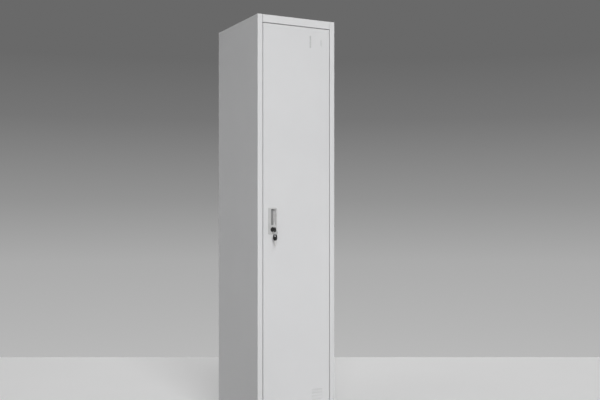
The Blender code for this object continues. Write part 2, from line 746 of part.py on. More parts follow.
def louvre_scoop(left, right, top):
    """Pressed-in scoop: deepest at its free upper edge, rounded into the sheet at its ends."""
    columns, rows = LOUVRE_COLUMNS, LOUVRE_ROWS
    root = top - LOUVRE_RISE
    rise = LOUVRE_RISE - 2 * FIT
    rim = (SHEET - TAB_SHEET) / 2
    bm = bmesh.new()
    layers = []
    for thickness in (0, TAB_SHEET):
        grid = []
        for row in range(rows + 1):
            up = row / rows
            line = []
            for column in range(columns + 1):
                across = column / columns
                bulge = LOUVRE_DEPTH * louvre_depth(across, up)
                point = (left + (right - left) * across, FRONT + rim + bulge + thickness)
                line.append(bm.verts.new((*point, root + rise * up)))
            grid.append(line)
        layers.append(grid)
    front, rear = layers
    for row in range(rows):
        for column in range(columns):
            for grid in (front, rear):
                bm.faces.new((grid[row][column], grid[row][column + 1],
                              grid[row + 1][column + 1], grid[row + 1][column]))
    for loop_front, loop_rear in zip(edge_loop(front), edge_loop(rear)):
        bm.faces.new((loop_front[0], loop_front[1], loop_rear[1], loop_rear[0]))
    bmesh.ops.triangulate(bm, faces=bm.faces)
    return add_object("louvre_scoop", bm, "door_coat")


def louvre_depth(across, up):
    """Share of the full depth, from 0 at the root and the two ends."""
    end = min(across, 1 - across) * LOUVRE_WIDTH / LOUVRE_END
    return math.sin(min(end, 1) * math.pi / 2) * up


def edge_loop(grid):
    """Pairs of neighbours around the edge of a grid of vertices."""
    top, bottom = grid[0], grid[-1]
    right = [line[-1] for line in grid]
    left = [line[0] for line in grid]
    loop = top + right[1:] + bottom[-2::-1] + left[-2:0:-1]
    return list(zip(loop, loop[1:] + loop[:1]))


def build_door_stiffener():
    """Hat channel down the middle of the door's inside."""
    middle = (DOOR_LEFT + DOOR_RIGHT) / 2
    seat = FRONT + SHEET + FIT
    crown = seat + STIFFENER_DEPTH
    half = STIFFENER_WIDTH / 2
    points = [(middle - half - STIFFENER_FLANGE, seat), (middle - half, seat), (middle - half, crown)]
    points += [(middle + half, crown), (middle + half, seat), (middle + half + STIFFENER_FLANGE, seat)]
    low, high = DOOR_BOTTOM + STIFFENER_END_GAP, DOOR_TOP - STIFFENER_END_GAP
    return folded_sheet("door_stiffener", points[::-1], "Z", low, high, "door_coat")


def build_pivot_bracket(name, edge, way):
    """Folded bracket inside the door's end; way is 1 where the pin points up."""
    face = edge - way * (SHEET + FIT)
    far = face - way * BRACKET_HEIGHT
    wall = DOOR_RIGHT - SHEET - FIT
    start = wall - BRACKET_LENGTH
    points = [(start, face), (wall, face), (wall, far), (start, far)]
    if way < 0:
        points.reverse()
    low = FRONT + SHEET + 2 * FIT
    high = FRONT + DOOR_DEPTH - SHEET - 2 * FIT
    bracket = folded_sheet(name, points, "Y", low, high, "zinc", BRACKET_SHEET)
    radius = PIN_RADIUS + FIT
    ends = sorted((face + way * SHEET, far - way * SHEET))
    profile = [(0, ends[0]), (radius, ends[0]), (radius, ends[1]), (0, ends[1])]
    cut(bracket, turned("bracket_hole", profile, "Z", PIVOT.xy, "zinc", SMALL_SIDES))
    return bracket


def build_pivot_pin(name, edge, sheet_face, way):
    """Headed pin through a bracket and a bush; way is 1 where it points up."""
    head_seat = edge - way * (SHEET + FIT + BRACKET_HEIGHT + FIT)
    head_end = head_seat - way * PIN_HEAD
    tip = sheet_face + way * (SHEET + PIN_REACH)
    chamfer = PIN_RADIUS / 4
    profile = [(0, head_end), (PIN_HEAD_RADIUS, head_end), (PIN_HEAD_RADIUS, head_seat)]
    profile += [(PIN_RADIUS, head_seat), (PIN_RADIUS, tip - way * chamfer)]
    profile += [(PIN_RADIUS - chamfer, tip), (0, tip)]
    return turned(name, profile, "Z", PIVOT.xy, "zinc", SMALL_SIDES)


def build_pivot_washer():
    """Nylon washer between the bottom bush and the door."""
    low = PLINTH + FIT + BUSH_FLANGE + FIT
    high = DOOR_BOTTOM - FIT
    bore = PIN_RADIUS + FIT
    profile = [(bore, low), (BUSH_FLANGE_RADIUS, low), (BUSH_FLANGE_RADIUS, high), (bore, high)]
    return turned("pivot_washer", profile, "Z", PIVOT.xy, "nylon", SMALL_SIDES)


def build_handle_shell():
    """Moulded plate and cup in one piece, with an undercut lip for the fingers."""
    low = (PLATE_LEFT, FRONT + PLATE_FRONT, PLATE_BOTTOM)
    high = (PLATE_LEFT + PLATE_WIDTH, FRONT - FIT, PLATE_BOTTOM + PLATE_HEIGHT)
    shell = box("handle_shell", low, high, "handle_plastic", PLATE_CORNER, 3, "Y")
    rim = shell.modifiers.new("Rim", "BEVEL")
    rim.width = PLATE_THICK / 4
    rim.segments = 1
    rim.limit_method = "ANGLE"
    settle(shell)
    cup_deep = PLATE_FRONT + RECESS_DEPTH + SHELL_WALL
    join(shell, cup_block("cup", 0, -FIT - PLATE_THICK / 2, cup_deep))
    add_claws(shell)
    cut(shell, recess_cutter())
    cut(shell, grip_cutter())
    cut(shell, lock_hole("lock_bore", 2 * PLATE_FRONT, SHEET))
    return shell


def recess_cutter():
    """The opening, straight through the plate and down to the floor, narrowing a little."""
    (low_x, low_z), (high_x, high_z) = cup_corners()
    left = low_x + SHELL_WALL + GRIP_UNDERCUT
    low = (left, FRONT + 2 * PLATE_FRONT, low_z + SHELL_WALL)
    high = (high_x - SHELL_WALL, FRONT + PLATE_FRONT + RECESS_DEPTH, high_z - SHELL_WALL)
    return box("recess", low, high, "zinc", RECESS_CORNER - SHELL_WALL, 3, "Y")


def grip_cutter():
    """The undercut behind the lip on the latch side of the recess."""
    (low_x, low_z), (high_x, high_z) = cup_corners()
    low = (low_x + SHELL_WALL, FRONT + PLATE_FRONT + GRIP_LIP, low_z + SHELL_WALL)
    middle = low_x + SHELL_WALL + GRIP_UNDERCUT + RECESS_WIDTH / 2
    high = (middle, FRONT + PLATE_FRONT + RECESS_DEPTH, high_z - SHELL_WALL)
    return box("grip_space", low, high, "zinc", RECESS_CORNER - SHELL_WALL, 3, "Y")


def add_claws(shell):
    """Snap claws on the cup's ends, which hook behind the door's sheet."""
    (low_x, low_z), (high_x, high_z) = cup_corners()
    middle = (low_x + high_x) / 2
    catch = FRONT + SHEET + FIT
    for end, way in ((high_z, 1), (low_z, -1)):
        root = end - way * SHELL_WALL / 2
        outline = [(catch, root), (catch, end + way * CLAW_RISE)]
        outline += [(catch + CLAW_DEPTH, end), (catch + CLAW_DEPTH, root)]
        low, high = middle - CLAW_LENGTH / 2, middle + CLAW_LENGTH / 2
        join(shell, plate("claw", outline, "X", low, high, "handle_plastic"))


def at_lock():
    return (LOCK_X, LOCK_Z)


def build_lock_barrel():
    """Headed barrel through the handle plate and the door."""
    seat = FRONT + HEAD_BACK
    face = seat - HEAD_THICK
    end = FRONT + CAM_DEEP - 2 * FIT
    bore = PLUG_RADIUS + FIT
    profile = [(bore, face), (HEAD_RADIUS, face), (HEAD_RADIUS, seat)]
    profile += [(BARREL_RADIUS, seat), (BARREL_RADIUS, end), (bore, end)]
    return turned("lock_barrel", profile, "Y", at_lock(), "nickel")


def build_lock_cap():
    """Black cap pressed over the barrel's head."""
    seat = FRONT + HEAD_BACK
    inside = seat - HEAD_THICK - FIT
    face = FRONT + CAP_FRONT
    skirt = HEAD_RADIUS + FIT
    outer = skirt + CAP_WALL
    bore = PLUG_RADIUS + FIT
    crown = CAP_FACE / 2
    profile = [(bore, inside), (bore, face), (outer - 2 * crown, face), (outer - crown / 2, face + crown / 2)]
    profile += [(outer, face + 2 * crown), (outer, seat), (skirt, seat), (skirt, inside)]
    return turned("lock_cap", profile, "Y", at_lock(), "black_plastic")


def build_lock_washer():
    low = FRONT + SHEET + FIT
    high = low + LOCK_WASHER
    bore = BARREL_RADIUS + FIT
    outer = NUT_ACROSS / 2
    profile = [(bore, low), (outer, low), (outer, high), (bore, high)]
    return turned("lock_washer", profile, "Y", at_lock(), "zinc")


def build_lock_nut():
    """Hexagonal nut, with its corners turned off."""
    low = FRONT + SHEET + FIT + LOCK_WASHER + FIT
    high = low + NUT_THICK
    corner = NUT_ACROSS / math.sqrt(3)
    outline = arc(at_lock(), corner, 0, 300, 5)
    nut = plate("lock_nut", outline, "Y", low, high, "zinc")
    cut(nut, lock_hole("nut_bore", 0, SHEET + 2 * NUT_THICK))
    return nut


def build_lock_plug():
    """Turning plug: key slot in front, square spigot and screw hole behind."""
    face = FRONT + CAP_FRONT + FIT
    shoulder = FRONT + CAM_DEEP - FIT
    profile = [(0, face), (PLUG_RADIUS, face), (PLUG_RADIUS, shoulder), (0, shoulder)]
    plug = turned("lock_plug", profile, "Y", at_lock(), "nickel")
    spigot_end = FRONT + CAM_DEEP + CAM_THICK - FIT
    join(plug, around_lock("spigot", SPIGOT_HALF, SPIGOT_HALF, shoulder - PLUG_RADIUS, spigot_end))
    half_wide, half_high = BLADE_THICK / 2 + FIT, BLADE_HEIGHT / 2 + FIT
    cut(plug, around_lock("key_slot", half_wide, half_high, face - FIT, FRONT + BLADE_TIP + FIT))
    radius = SCREW_RADIUS + FIT
    start = FRONT + SCREW_HOLE_DEEP - FIT
    profile = [(0, start), (radius, start), (radius, spigot_end + FIT), (0, spigot_end + FIT)]
    cut(plug, turned("screw_hole", profile, "Y", at_lock(), "zinc", SMALL_SIDES))
    return plug


def around_lock(name, half_wide, half_high, start, end):
    """A block centred on the lock's axis, between two places along it."""
    low = (LOCK_X - half_wide, start, LOCK_Z - half_high)
    return box(name, low, (LOCK_X + half_wide, end, LOCK_Z + half_high))


def build_lock_cam():
    """Flat tongue on the plug's spigot, pointing up while unlocked."""
    half = CAM_WIDTH / 2
    tip = LOCK_Z + CAM_REACH - half
    outline = arc(at_lock(), half, 180, 360, 8) + arc((LOCK_X, tip), half, 0, 180, 8)
    start = FRONT + CAM_DEEP
    cam = plate("lock_cam", outline, "Y", start, start + CAM_THICK, "zinc")
    half_hole = SPIGOT_HALF + FIT
    cut(cam, around_lock("cam_hole", half_hole, half_hole, start - FIT, start + 2 * CAM_THICK))
    return cam


def build_cam_screw():
    seat = FRONT + CAM_DEEP + CAM_THICK + FIT
    end = seat + SCREW_HEAD
    tip = FRONT + SCREW_HOLE_DEEP
    crown = SCREW_HEAD / 2
    profile = [(0, tip), (SCREW_RADIUS, tip), (SCREW_RADIUS, seat), (SCREW_HEAD_RADIUS, seat)]
    profile += [(SCREW_HEAD_RADIUS, end - crown), (SCREW_HEAD_RADIUS * 0.75, end), (0, end)]
    screw = turned("cam_screw", profile, "Y", at_lock(), "zinc", SMALL_SIDES)
    cut(screw, around_lock("driver_slot", SCREW_HEAD_RADIUS, DRIVER_SLOT / 2, end - crown, end + FIT))
    return screw


def key_blade(name, placement):
    """Key blade with its cuts, laid out along +X from the hole in the bow."""
    root = BOW_LENGTH - BOW_HOLE_INSET
    half = BLADE_HEIGHT / 2
    tip = root + BLADE_TIP - BOW_ROOT
    outline = [(root - BLADE_TANG, half), (root - BLADE_TANG, -half)]
    for index, depth in enumerate(BIT_CUTS):
        middle = root + BIT_START + BIT_PITCH * index
        outline += [(middle - BIT_MOUTH / 2, -half), (middle - BIT_FLAT / 2, -half + depth)]
        outline += [(middle + BIT_FLAT / 2, -half + depth), (middle + BIT_MOUTH / 2, -half)]
    shoulder = tip - BLADE_POINT
    outline += [(shoulder, -half), (tip, -BLADE_NOSE / 2), (tip, BLADE_NOSE / 2), (shoulder, half)]
    blade = plate(name, outline, "Z", -BLADE_THICK / 2, BLADE_THICK / 2, "nickel")
    place(blade, placement)
    return blade


def bow_outline(inset):
    """Rounded head and drawn-in root, with every side moved in by inset."""
    end = -BOW_HOLE_INSET + inset
    root = BOW_LENGTH - BOW_HOLE_INSET - inset
    shoulder = BOW_LENGTH - BOW_HOLE_INSET - BOW_CORNER
    half = BOW_WIDTH / 2 - inset
    root_half = BOW_ROOT_WIDTH / 2 - inset / 2
    corner = BOW_CORNER - inset
    outline = arc((end + corner, -half + corner), corner, 180, 270, 5)
    outline += [(shoulder, -half), (root, -root_half), (root, root_half), (shoulder, half)]
    outline += arc((end + corner, half - corner), corner, 90, 180, 5)
    return outline


def key_bow(name, placement):
    """Moulded bow: rounded head, sunk faces, ring hole with a boss and a pocket for the blade."""
    face = BOW_THICK / 2
    bow = plate(name, bow_outline(0), "Z", -face, face, "black_plastic")
    edge = bow.modifiers.new("Edge", "BEVEL")
    edge.width = BOW_EDGE
    edge.segments = 2
    edge.limit_method = "ANGLE"
    edge.angle_limit = math.radians(60)
    settle(bow)
    for side in (-1, 1):
        floor, above = side * (face - BOW_SINK), side * (face + FIT)
        low, high = sorted((floor, above))
        sink = plate("sunk_face", bow_outline(BOW_RIM), "Z", low, high, "zinc")
        boss = [(0, low - FIT), (BOW_HOLE + BOW_BOSS, low - FIT), (BOW_HOLE + BOW_BOSS, high + FIT)]
        cut(sink, turned("boss", boss + [(0, high + FIT)], "Z", (0, 0), "zinc"))
        cut(bow, sink)
    cut(bow, ring_hole())
    root = BOW_LENGTH - BOW_HOLE_INSET
    low = (root - BLADE_TANG - FIT, -BLADE_HEIGHT / 2 - FIT, -BLADE_THICK / 2 - FIT)
    high = (root + FIT, BLADE_HEIGHT / 2 + FIT, BLADE_THICK / 2 + FIT)
    cut(bow, box("blade_pocket", low, high))
    place(bow, placement)
    return bow


def ring_hole():
    """Cutter for a bow's hole, with both of its mouths chamfered."""
    past = BOW_THICK / 2 + FIT
    neck = BOW_THICK / 2 - BOW_EDGE / 2
    mouth = BOW_HOLE + past - neck
    profile = [(0, -past), (mouth, -past), (BOW_HOLE, -neck)]
    profile += [(BOW_HOLE, neck), (mouth, past), (0, past)]
    return turned("ring_hole", profile, "Z", (0, 0), "zinc")


def place(piece, placement):
    """Moves a piece that was laid out flat to its real place."""
    piece.data.transform(placement)


def frame_at(origin, along, up):
    """Matrix that sends X to along, Y to up, and the origin to origin."""
    along, up = Vector(along), Vector(up)
    through = along.cross(up)
    turn = Matrix((along, up, through)).transposed().to_4x4()
    return Matrix.Translation(origin) @ turn


def build_key_ring():
    """Split ring of two turns, through the inserted key's hole and hanging below it."""
    bm = bmesh.new()
    centre = (RING_TOP + RING_BOTTOM) / 2
    start, end = WIRE_ENDS, 2 * math.tau - WIRE_ENDS
    rings = []
    for step in range(WIRE_STEPS + 1):
        wound = start + (end - start) * step / WIRE_STEPS
        angle = RING_JOIN + wound
        spoke = Vector((math.sin(angle), 0, math.cos(angle)))
        middle = centre + spoke * RING_RADIUS + Vector((0, turn_offset(wound), 0))
        ring = []
        for side in range(WIRE_SIDES):
            turn = math.tau * side / WIRE_SIDES
            out = spoke * math.cos(turn) + Vector((0, math.sin(turn), 0))
            ring.append(bm.verts.new(middle + out * WIRE_RADIUS))
        rings.append(ring)
    for ring, following in zip(rings, rings[1:]):
        bridge(bm, ring, following, WIRE_SIDES)
    bm.faces.new(rings[0])
    bm.faces.new(rings[-1])
    return add_object("key_ring", bm, "nickel")


def turn_offset(wound):
    """How far the wire lies from the ring's middle plane after winding this far."""
    half = WIRE_RADIUS + TURN_GAP / 2
    share = max(-1, min(1, (wound - math.tau) / STEP_OVER))
    return half * math.sin(share * math.pi / 2)


def add_axis(name, point, parent=None):
    """An empty on a joint's axis."""
    empty = bpy.data.objects.new(name, None)
    empty.empty_display_size = 0.02
    bpy.context.scene.collection.objects.link(empty)
    empty.parent = parent
    above = parent["axis_point"] if parent else (0, 0, 0)
    empty["axis_point"] = tuple(point)
    empty.location = Vector(point) - Vector(above)
    return empty


def hang(axis, pieces):
    """Gives each piece its origin on the axis, and the axis as its parent."""
    point = Vector(axis["axis_point"])
    for piece in pieces:
        piece.data.transform(Matrix.Translation(-point))
        piece.parent = axis


def build_cabinet():
    left = side_panel("left_side", -1, True)
    for place_on_lip in buffer_places():
        radius = BUFFER_STEM + FIT
        start, end = FRONT + STRIKE_DEEP - SHEET, FRONT + STRIKE_DEEP + CUT_PAST
        profile = [(0, start), (radius, start), (radius, end), (0, end)]
        cut(left, turned("buffer_hole", profile, "Y", place_on_lip, "zinc", SMALL_SIDES))
    side_panel("right_side", 1, False)
    build_back_panel()
    build_top_panel()
    build_bottom_panel()
    build_shelf()
    build_ledge("shelf_ledge_left", -1)
    build_ledge("shelf_ledge_right", 1)
    build_hanging_rail()
    build_rail_cup("rail_cup_left", -1)
    build_rail_cup("rail_cup_right", 1)
    for name, place_on_lip in zip(("buffer_lower", "buffer_upper"), buffer_places()):
        build_buffer(name, place_on_lip)
    for end_name, front in (("front", True), ("rear", False)):
        for hand_name, hand in (("left", -1), ("right", 1)):
            build_foot(f"foot_{end_name}_{hand_name}", hand, front)
    build_bush("top_bush", LINTEL, 1)
    build_bush("bottom_bush", PLINTH, -1)
    build_pivot_washer()


def build_door():
    pieces = [build_door_skin(), build_door_stiffener()]
    pieces.append(build_pivot_bracket("top_pivot_bracket", DOOR_TOP, 1))
    pieces.append(build_pivot_bracket("bottom_pivot_bracket", DOOR_BOTTOM, -1))
    pieces.append(build_pivot_pin("top_pivot_pin", DOOR_TOP, LINTEL, 1))
    pieces.append(build_pivot_pin("bottom_pivot_pin", DOOR_BOTTOM, PLINTH, -1))
    pieces += [build_handle_shell(), build_lock_barrel(), build_lock_cap()]
    pieces += [build_lock_washer(), build_lock_nut()]
    return pieces


def build_keys(lock_axis):
    """The inserted key, its ring and the spare key that hangs on it."""
    inserted = frame_at(KEY_HOLE, (0, 1, 0), (0, 0, 1))
    key_axis = add_axis("key_axis", KEY_HOLE, lock_axis)
    hang(key_axis, [key_blade("key_blade", inserted), key_bow("key_bow", inserted)])
    ring_axis = add_axis("ring_axis", RING_TOP, key_axis)
    hang(ring_axis, [build_key_ring()])
    across = (math.cos(SPARE_TWIST), -math.sin(SPARE_TWIST), 0)
    hanging = frame_at(SPARE_HOLE, (0, 0, -1), across)
    spare_axis = add_axis("spare_axis", RING_BOTTOM, ring_axis)
    hang(spare_axis, [key_blade("spare_key_blade", hanging), key_bow("spare_key_bow", hanging)])


def main():
    for old in list(bpy.data.objects):
        bpy.data.objects.remove(old)
    build_cabinet()
    door_axis = add_axis("door_axis", PIVOT)
    hang(door_axis, build_door())
    lock_axis = add_axis("lock_axis", (LOCK_X, FRONT, LOCK_Z), door_axis)
    hang(lock_axis, [build_lock_plug(), build_lock_cam(), build_cam_screw()])
    build_keys(lock_axis)


main()
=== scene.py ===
"""Studio scene of a tall single-door steel locker.

Lengths are in metres and lie in the CAD's frame: X to the hinge side, -Y out of the door, Z up.
"""

import json
import math

import bmesh
import bpy
from mathutils import Matrix, Vector


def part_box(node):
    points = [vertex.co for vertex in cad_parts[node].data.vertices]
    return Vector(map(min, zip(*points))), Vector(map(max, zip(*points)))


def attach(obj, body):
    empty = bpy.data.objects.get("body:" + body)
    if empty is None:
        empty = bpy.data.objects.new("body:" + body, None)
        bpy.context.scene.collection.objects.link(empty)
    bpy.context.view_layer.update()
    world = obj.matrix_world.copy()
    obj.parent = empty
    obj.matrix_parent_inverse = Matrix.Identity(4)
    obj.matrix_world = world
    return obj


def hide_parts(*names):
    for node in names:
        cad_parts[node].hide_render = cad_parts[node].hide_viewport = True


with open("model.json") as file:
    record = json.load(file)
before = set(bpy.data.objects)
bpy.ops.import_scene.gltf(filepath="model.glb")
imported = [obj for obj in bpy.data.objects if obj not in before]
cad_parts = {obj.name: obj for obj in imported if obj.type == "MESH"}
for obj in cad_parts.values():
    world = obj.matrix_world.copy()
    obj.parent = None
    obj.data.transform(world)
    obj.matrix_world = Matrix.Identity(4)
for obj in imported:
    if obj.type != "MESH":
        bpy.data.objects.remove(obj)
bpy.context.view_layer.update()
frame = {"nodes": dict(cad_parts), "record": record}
scene = bpy.context.scene


def show(name, data):
    """A new object in the scene."""
    made = bpy.data.objects.new(name, data)
    scene.collection.objects.link(made)
    return made


# Camera: level, from the front left
CAMERA_PLACE = Vector((-1.7245, -3.582, 0.980))
CAMERA_TURN = math.radians(-27.27)
FOCAL_LENGTH = 51.5             # millimetres, as the sensor's width
SENSOR_WIDTH = 36.0
FRAME_RISE = 0.025              # a share of the frame's width
LEVEL = math.radians(90.0)


def add_camera():
    data = bpy.data.cameras.new("camera")
    data.lens = FOCAL_LENGTH
    data.sensor_width = SENSOR_WIDTH
    data.shift_y = FRAME_RISE
    camera = show("camera", data)
    camera.location = CAMERA_PLACE
    camera.rotation_euler = (LEVEL, 0.0, CAMERA_TURN)
    scene.camera = camera


add_camera()
scene.view_settings.view_transform = "Standard"


# Nodes
MIX_INPUTS, MIX_OUTPUT = (6, 7), 2      # the colour sockets of a Mix node
NOISE_LOW, NOISE_HIGH = 0.3, 0.7        # most of a noise pattern lies between these
UNSTRETCHED = (1.0, 1.0, 1.0)


class Nodes:
    """Short ways to add and join the nodes of one material or world."""

    def __init__(self, tree):
        self.tree = tree

    def add(self, kind, **values):
        node = self.tree.nodes.new(kind)
        for name, value in values.items():
            setattr(node, name, value)
        return node

    def join(self, output, socket):
        self.tree.links.new(output, socket)

    def place(self, stretch=UNSTRETCHED):
        """The object's own coordinates, each axis times its stretch."""
        coord = self.add("ShaderNodeTexCoord")
        mapping = self.add("ShaderNodeMapping")
        mapping.inputs["Scale"].default_value = stretch
        self.join(coord.outputs["Object"], mapping.inputs["Vector"])
        return mapping.outputs["Vector"]

    def parts(self, vector):
        """The X, Y and Z of a vector, by name."""
        node = self.add("ShaderNodeSeparateXYZ")
        self.join(vector, node.inputs[0])
        return node.outputs

    def noise(self, place, scale, detail):
        node = self.add("ShaderNodeTexNoise")
        node.inputs["Scale"].default_value = scale
        node.inputs["Detail"].default_value = detail
        self.join(place, node.inputs["Vector"])
        return node.outputs["Fac"]

    def cells(self, place, scale):
        node = self.add("ShaderNodeTexVoronoi")
        node.inputs["Scale"].default_value = scale
        self.join(place, node.inputs["Vector"])
        return node.outputs["Distance"]

    def spread(self, value, low, high, start=NOISE_LOW, end=NOISE_HIGH):
        """From low to high as the value goes from start to end."""
        node = self.add("ShaderNodeMapRange")
        ends = (("From Min", start), ("From Max", end), ("To Min", low), ("To Max", high))
        for name, number in ends:
            node.inputs[name].default_value = number
        self.join(value, node.inputs["Value"])
        return node.outputs["Result"]

    def rise(self, value, start, end):
        return self.spread(value, 0.0, 1.0, start, end)

    def fall(self, value, start, end):
        return self.spread(value, 1.0, 0.0, start, end)

    def within(self, value, low, high, fade):
        """One between low and high, and nothing further than fade from them."""
        rise = self.rise(value, low - fade, low)
        return self.product(rise, self.fall(value, high, high + fade))

    def blend(self, factor, first, second):
        """A colour that goes from first to second, which are colours or sockets."""
        node = self.add("ShaderNodeMix", data_type="RGBA")
        self.join(factor, node.inputs["Factor"])
        for socket, value in zip(MIX_INPUTS, (first, second)):
            if isinstance(value, tuple):
                node.inputs[socket].default_value = (*value, 1.0)
            else:
                self.join(value, node.inputs[socket])
        return node.outputs[MIX_OUTPUT]

    def mottle(self, pattern, dark, light):
        """A colour between dark and light, clouded by a noise pattern."""
        return self.blend(self.spread(pattern, 0.0, 1.0), dark, light)

    def math(self, operation, first, second):
        node = self.add("ShaderNodeMath", operation=operation)
        self.join(first, node.inputs[0])
        self.join(second, node.inputs[1])
        return node.outputs[0]

    def product(self, first, second):
        return self.math("MULTIPLY", first, second)

    def bump(self, height, distance, strength, under=None):
        node = self.add("ShaderNodeBump")
        node.inputs["Distance"].default_value = distance
        node.inputs["Strength"].default_value = strength
        self.join(height, node.inputs["Height"])
        if under is not None:
            self.join(under, node.inputs["Normal"])
        return node.outputs["Normal"]


def material(name):
    """A new material, its nodes and the inputs of its shader."""
    made = bpy.data.materials.new(name)
    made.use_nodes = True
    return made, Nodes(made.node_tree), made.node_tree.nodes["Principled BSDF"].inputs


def coat(nodes, shader, colour, rough, normal):
    """Joins what every finish has: a colour, a roughness and a bump."""
    nodes.join(colour, shader["Base Color"])
    nodes.join(rough, shader["Roughness"])
    nodes.join(normal, shader["Normal"])


def shade(grey):
    return (grey, grey, grey)


# Coated sheet
# The grey of the painted shade at the foot, which is also the grey of the coat's fine specks
FOOT_SHADE_AND_SPECK_GREY = shade(0.42)
# The grey of the shade painted round the card holder's longer tab
TAB_SHADE_GREY = shade(0.36)
FOOT_SHADE_LOW, FOOT_SHADE_HIGH = 0.05, 0.80        # the heights between which the painted shade at the foot thins out
COAT_GLOSS = 0.35

# The longer tab of the card holder: how far it lies in from the door's hinge edge and top edge
TAB_IN = (0.0988, 0.0942)
TAB_DOWN = (0.0880, 0.0370)
TAB_FADE_ACROSS, TAB_FADE_ALONG = 0.0024, 0.0030
# Depths behind the tab's face, between the outer and the inner side of the door's sheet
SHEET_OUTER, SHEET_INNER = 0.0018, 0.0022


def tab_painted_shade(nodes, place, parts):
    """The share of shade painted round the card holder's longer tab, on the outer face."""
    low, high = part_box("door_skin")
    share = nodes.within(parts["X"], high.x - TAB_IN[0], high.x - TAB_IN[1], TAB_FADE_ACROSS)
    upright = nodes.within(parts["Z"], high.z - TAB_DOWN[0], high.z - TAB_DOWN[1], TAB_FADE_ALONG)
    outside = nodes.fall(parts["Y"], low.y + SHEET_OUTER, low.y + SHEET_INNER)
    share = nodes.product(nodes.product(share, upright), outside)
    shade_breakup = nodes.noise(place, scale=160.0, detail=4.0)
    return nodes.product(share, nodes.spread(shade_breakup, low=0.26, high=0.68))


def powder_coat(name, light, dark, rough, foot_shade_share, tabbed=False):
    """Stoved powder on pressed sheet: a fine orange peel over a sheet that is never quite flat.

    Painted shade darkens the sheet towards the foot and thins out upwards, by a share at the foot
    that each finish sets. Where the sheet is tabbed, shade is also painted round the card holder's
    tab.
    """
    made, nodes, shader = material(name)
    place = nodes.place()
    parts = nodes.parts(place)
    cloud = nodes.noise(place, scale=3.2, detail=3.0)
    peel = nodes.noise(place, scale=420.0, detail=1.5)
    grain = nodes.noise(place, scale=2400.0, detail=1.0)
    # Painted shade: darker towards the foot, thinning out upwards and broken up by the cloud
    low_shade = nodes.spread(parts["Z"], foot_shade_share, 0.0, FOOT_SHADE_LOW, FOOT_SHADE_HIGH)
    low_shade = nodes.product(low_shade, nodes.spread(cloud, low=0.85, high=1.15))
    tone = nodes.blend(low_shade, nodes.mottle(cloud, dark, light), FOOT_SHADE_AND_SPECK_GREY)
    if tabbed:
        # Painted shade round the card holder's longer tab
        tone = nodes.blend(tab_painted_shade(nodes, place, parts), tone, TAB_SHADE_GREY)
    # Fine specks of the same grey, the coat's own colour
    tone = nodes.blend(nodes.spread(grain, low=0.0, high=0.05), tone, FOOT_SHADE_AND_SPECK_GREY)
    wave = nodes.bump(nodes.noise(place, scale=2.6, detail=1.0), distance=0.0016, strength=0.5)
    surface = nodes.bump(peel, distance=0.00010, strength=0.7, under=wave)
    coat(nodes, shader, tone, nodes.spread(peel, rough - 0.03, rough + 0.05), surface)
    shader["Specular IOR Level"].default_value = COAT_GLOSS
    return made


# Mouldings
# Depths behind the handle's face over which its plate ends, and its recess's floor starts and ends
PLATE_END = (0.0010, 0.0030)
FLOOR_START = (0.0180, 0.0188)
FLOOR_END = (0.0193, 0.0200)
# How far in from the handle's right edge the painted shadow of the lip on the recess floor thins
# out
LIP_SHADOW_FADE = (0.0122, 0.0050)


def moulded(name, light, dark, rough, grain_size, depth):
    """Injection moulding with an even spark-eroded grain."""
    made, nodes, shader = material(name)
    place = nodes.place()
    grain = nodes.cells(place, scale=1.0 / grain_size)
    cloud = nodes.noise(place, scale=60.0, detail=3.0)
    fine = nodes.noise(place, scale=900.0, detail=2.0)
    coat(nodes, shader, nodes.mottle(cloud, dark, light),
         nodes.spread(fine, rough - 0.04, rough + 0.06),
         nodes.bump(grain, distance=depth, strength=0.6))
    return made


def handle_moulding(name):
    """Satin grey moulding, with the lip's shadow painted on the recess floor behind the lip that
    the fingers pull, and the recess walls painted lighter, as if lit.
    """
    made, nodes, shader = material(name)
    place = nodes.place()
    parts = nodes.parts(place)
    cloud = nodes.noise(place, scale=60.0, detail=3.0)
    fine = nodes.noise(place, scale=900.0, detail=2.0)
    grain = nodes.cells(place, scale=1400.0)
    low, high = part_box("handle_shell")

    def behind(change, depths):
        return change(parts["Y"], low.y + depths[0], low.y + depths[1])

    plate = nodes.mottle(cloud, shade(0.48), shade(0.52))
    # Painted light: the recess walls are given a far lighter tone than the plate, as if lit
    lit_walls = nodes.mottle(cloud, shade(0.84), shade(0.90))
    # Painted shadow of the lip on the recess floor
    lip_shadow_tone = nodes.mottle(cloud, shade(0.18), shade(0.23))
    past_lip_shadow = nodes.rise(parts["X"], high.x - LIP_SHADOW_FADE[0], high.x - LIP_SHADOW_FADE[1])
    floor = nodes.product(behind(nodes.rise, FLOOR_START), behind(nodes.fall, FLOOR_END))
    tone = nodes.blend(behind(nodes.rise, PLATE_END), plate, lit_walls)
    # The recess floor takes the painted shadow at the left, fading to the plate's tone towards the
    # right edge
    tone = nodes.blend(floor, tone, nodes.blend(past_lip_shadow, lip_shadow_tone, plate))
    coat(nodes, shader, tone, nodes.spread(fine, low=0.38, high=0.48),
         nodes.bump(grain, distance=0.00004, strength=0.6))
    return made


def handled_black(name):
    """Black moulding with hairline scratches from keys and fingers."""
    made, nodes, shader = material(name)
    scratches = nodes.noise(nodes.place((1.0, 1.0, 0.06)), scale=1800.0, detail=2.0)
    fine = nodes.noise(nodes.place(), scale=1400.0, detail=2.0)
    worn = nodes.rise(scratches, 0.62, 0.72)
    coat(nodes, shader, nodes.blend(worn, shade(0.012), shade(0.035)),
         nodes.spread(fine, low=0.26, high=0.42),
         nodes.bump(fine, distance=0.00003, strength=0.6))
    return made


